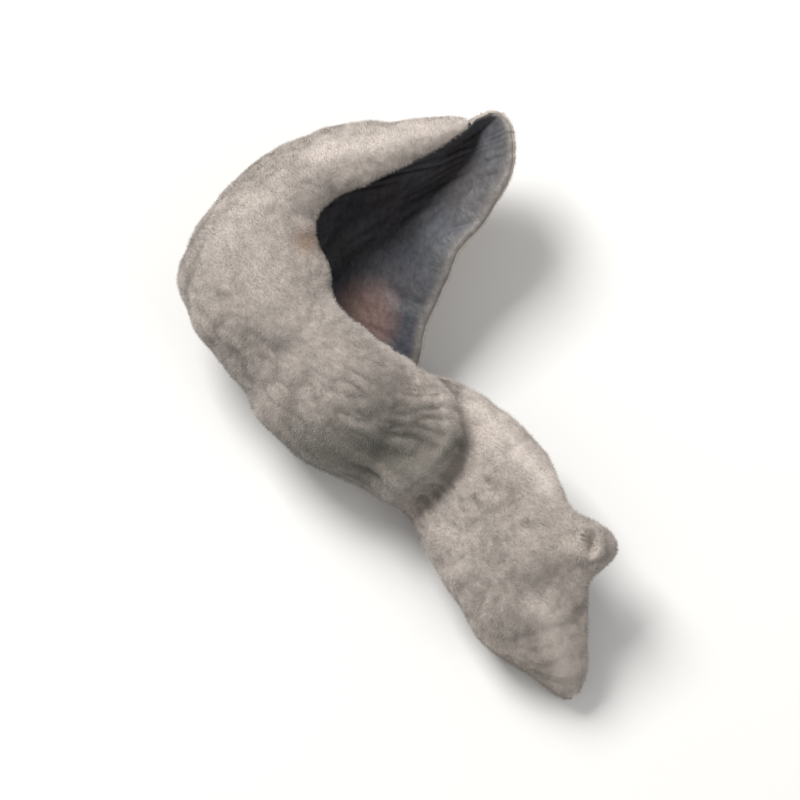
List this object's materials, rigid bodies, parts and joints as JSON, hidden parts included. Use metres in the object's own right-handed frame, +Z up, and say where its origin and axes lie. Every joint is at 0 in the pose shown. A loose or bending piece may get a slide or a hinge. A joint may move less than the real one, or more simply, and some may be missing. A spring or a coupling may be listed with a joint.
{
  "type": "dried wood ear mushroom",
  "caption": "One dried wood ear mushroom: a thin felted sheet rolled into a small cup with a thick lip, ending in a curled tongue, cut flat at its foot.",
  "frame": {"origin": "centre of the bounding box in plan, on the surface that the ear lies on", "axes": "+Y along the ear from the tongue's tip towards the cup, +X to the right as seen from above, +Z up, away from the cut foot"},
  "size_m": [0.0248, 0.034, 0.0101],
  "materials": {
    "felt": "dry, matt, greyish brown felt outside and a smooth dark grey inside"
  },
  "bodies": {
    "root": {"dried_ear": "felt"}
  },
  "joints": []
}
